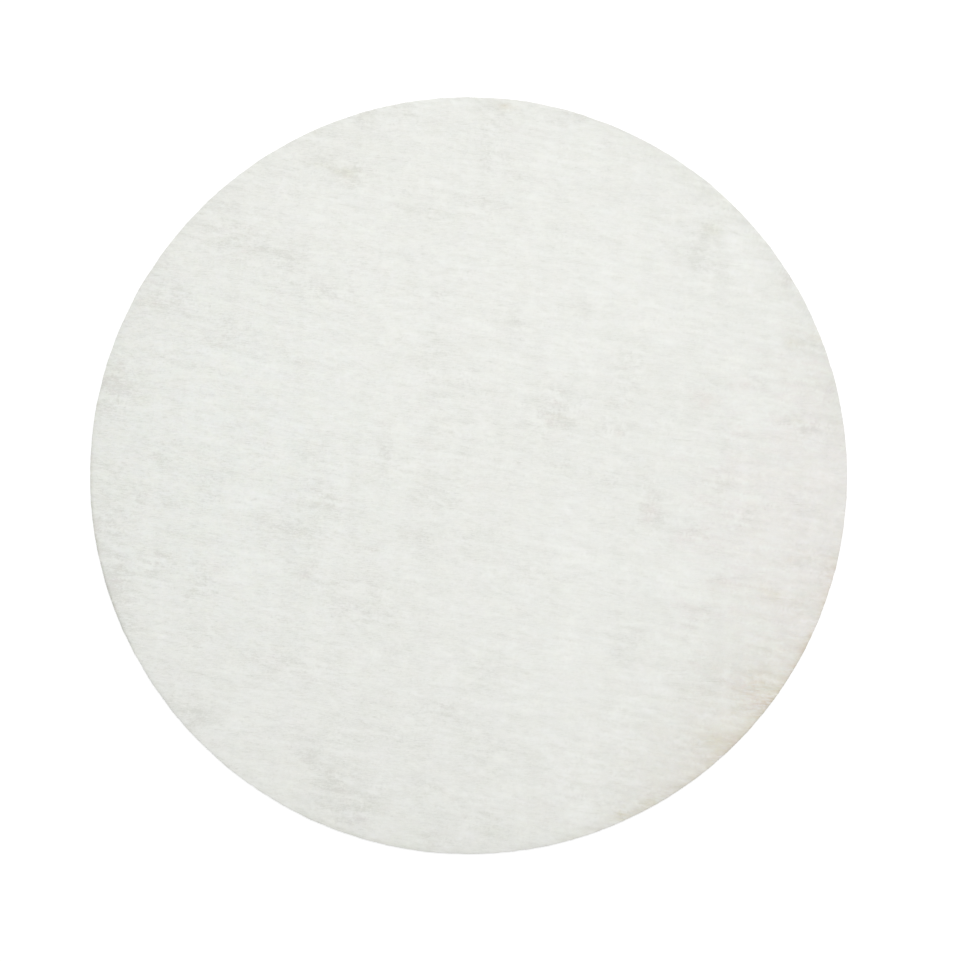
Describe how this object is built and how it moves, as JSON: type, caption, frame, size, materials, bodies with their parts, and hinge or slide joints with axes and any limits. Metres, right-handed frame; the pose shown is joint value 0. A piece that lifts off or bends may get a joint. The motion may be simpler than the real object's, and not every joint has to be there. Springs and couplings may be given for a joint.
{
  "type": "filter paper disc",
  "caption": "Flat round disc of soft white filter paper with a die-cut rim, to line a funnel or filter holder.",
  "frame": {"origin": "centre of the underside, which rests on what the disc lies on", "axes": "+Z square to the sheet, out of its top face; X and Y lie in the underside, alike in every direction because the disc is round"},
  "size_m": [0.09, 0.09, 0.0004],
  "materials": {
    "filter_paper": "matte"
  },
  "bodies": {
    "root": {"paper_disc": "filter_paper"}
  },
  "joints": []
}
